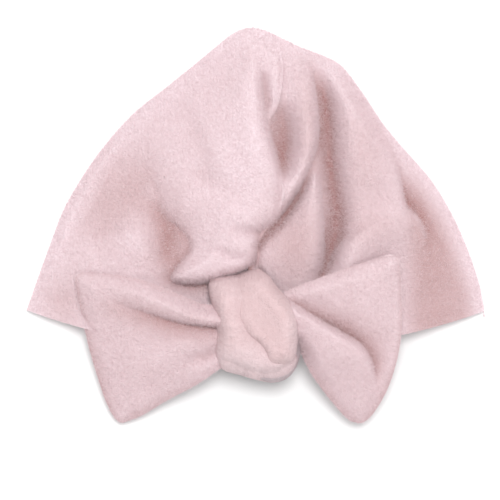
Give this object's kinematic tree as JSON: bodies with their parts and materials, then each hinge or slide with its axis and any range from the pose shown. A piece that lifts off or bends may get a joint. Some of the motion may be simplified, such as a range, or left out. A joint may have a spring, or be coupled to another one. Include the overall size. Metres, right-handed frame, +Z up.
{
  "type": "turban cap",
  "caption": "Lined knit turban cap with a gathered domed front and a knotted bow at the hem, lying flat on its back.",
  "frame": {"origin": "bottom centre of the bounding box, on the surface that the cap lies on", "axes": "+X towards the right of the bow as seen from above, +Y from the hem towards the crown, +Z up out of the front"},
  "size_m": [0.25, 0.2176, 0.0558],
  "materials": {
    "knit": "brushed soft pile knit",
    "lining": "plain fine knit",
    "thread": "polyester sewing thread",
    "label": "plain woven tape, blank"
  },
  "bodies": {
    "back": {"back_panel": "knit", "back_lining": "lining", "side_seam_thread": "thread", "back_hem_thread": "thread", "care_label": "label", "label_stitch": "thread"},
    "front": {"front_left_panel": "knit", "front_right_panel": "knit", "front_lining": "lining", "front_hem_thread": "thread", "centre_front_thread": "thread", "knot_over_wrap": "knit", "knot_under_wrap": "knit", "knot_core": "knit", "pleat_tack": "thread", "bow_tack": "thread"},
    "left_tail": {"left_tail_face": "knit", "left_tail_backing": "knit", "left_tail_thread": "thread"},
    "right_tail": {"right_tail_face": "knit", "right_tail_backing": "knit", "right_tail_thread": "thread"}
  },
  "joints": [
    {"name": "mouth_open", "type": "hinge", "parent": "back", "child": "front", "pos_m": [0, 0.1088, 0.0022], "axis": [-1, 0, 0], "range_deg": [0, 25]},
    {"name": "left_tail_lift", "type": "hinge", "parent": "front", "child": "left_tail", "pos_m": [-0.0245, -0.057, 0.0366], "axis": [0, 1, 0], "range_deg": [0, 60]},
    {"name": "right_tail_lift", "type": "hinge", "parent": "front", "child": "right_tail", "pos_m": [0.0245, -0.054, 0.0366], "axis": [0, -1, 0], "range_deg": [0, 60]}
  ]
}
